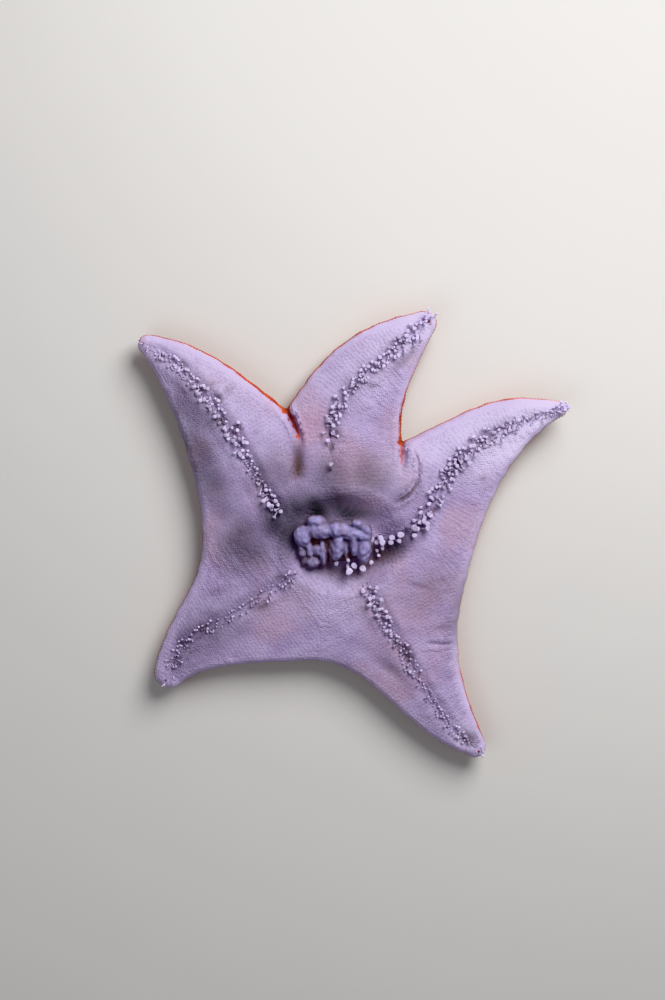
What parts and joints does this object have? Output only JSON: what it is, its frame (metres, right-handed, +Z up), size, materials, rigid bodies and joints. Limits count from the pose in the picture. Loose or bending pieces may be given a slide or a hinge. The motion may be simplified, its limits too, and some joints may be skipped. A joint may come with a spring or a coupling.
{
  "type": "bat star starfish",
  "caption": "Still life-size model of a live webbed starfish lying on its back, mouth side up, with curled arms, tube-foot furrows and its stomach pushed out of the mouth.",
  "frame": {"origin": "bottom centre of the whole star's box: the level of the flats of the back that lie on the floor, midway along the width and the depth", "axes": "+Z up out of the mouth side, +Y towards the gap side of the two upper arms, +X towards the right arm"},
  "size_m": [0.1196, 0.1292, 0.0156],
  "materials": {
    "skin": "finely granular damp skin, pale lilac pink on the mouth side and orange red on the back",
    "spines": "fine limy plates and spinelets, satin",
    "tube_feet": "wet translucent lavender white",
    "stomach": "wet translucent lavender grey membrane",
    "madreporite": "chalky pale plate with fine grooves",
    "eyespot": "wet dark red"
  },
  "bodies": {
    "root": {"disc": "skin", "stomach": "stomach", "madreporite": "madreporite", "arm_upper_left": "skin", "tip_upper_left": "skin", "eyespot_upper_left": "eyespot", "arm_upper_middle": "skin", "tip_upper_middle": "skin", "eyespot_upper_middle": "eyespot", "arm_right": "skin", "tip_right": "skin", "eyespot_right": "eyespot", "arm_lower_right": "skin", "tip_lower_right": "skin", "eyespot_lower_right": "eyespot", "arm_lower_left": "skin", "tip_lower_left": "skin", "eyespot_lower_left": "eyespot"}
  },
  "joints": []
}
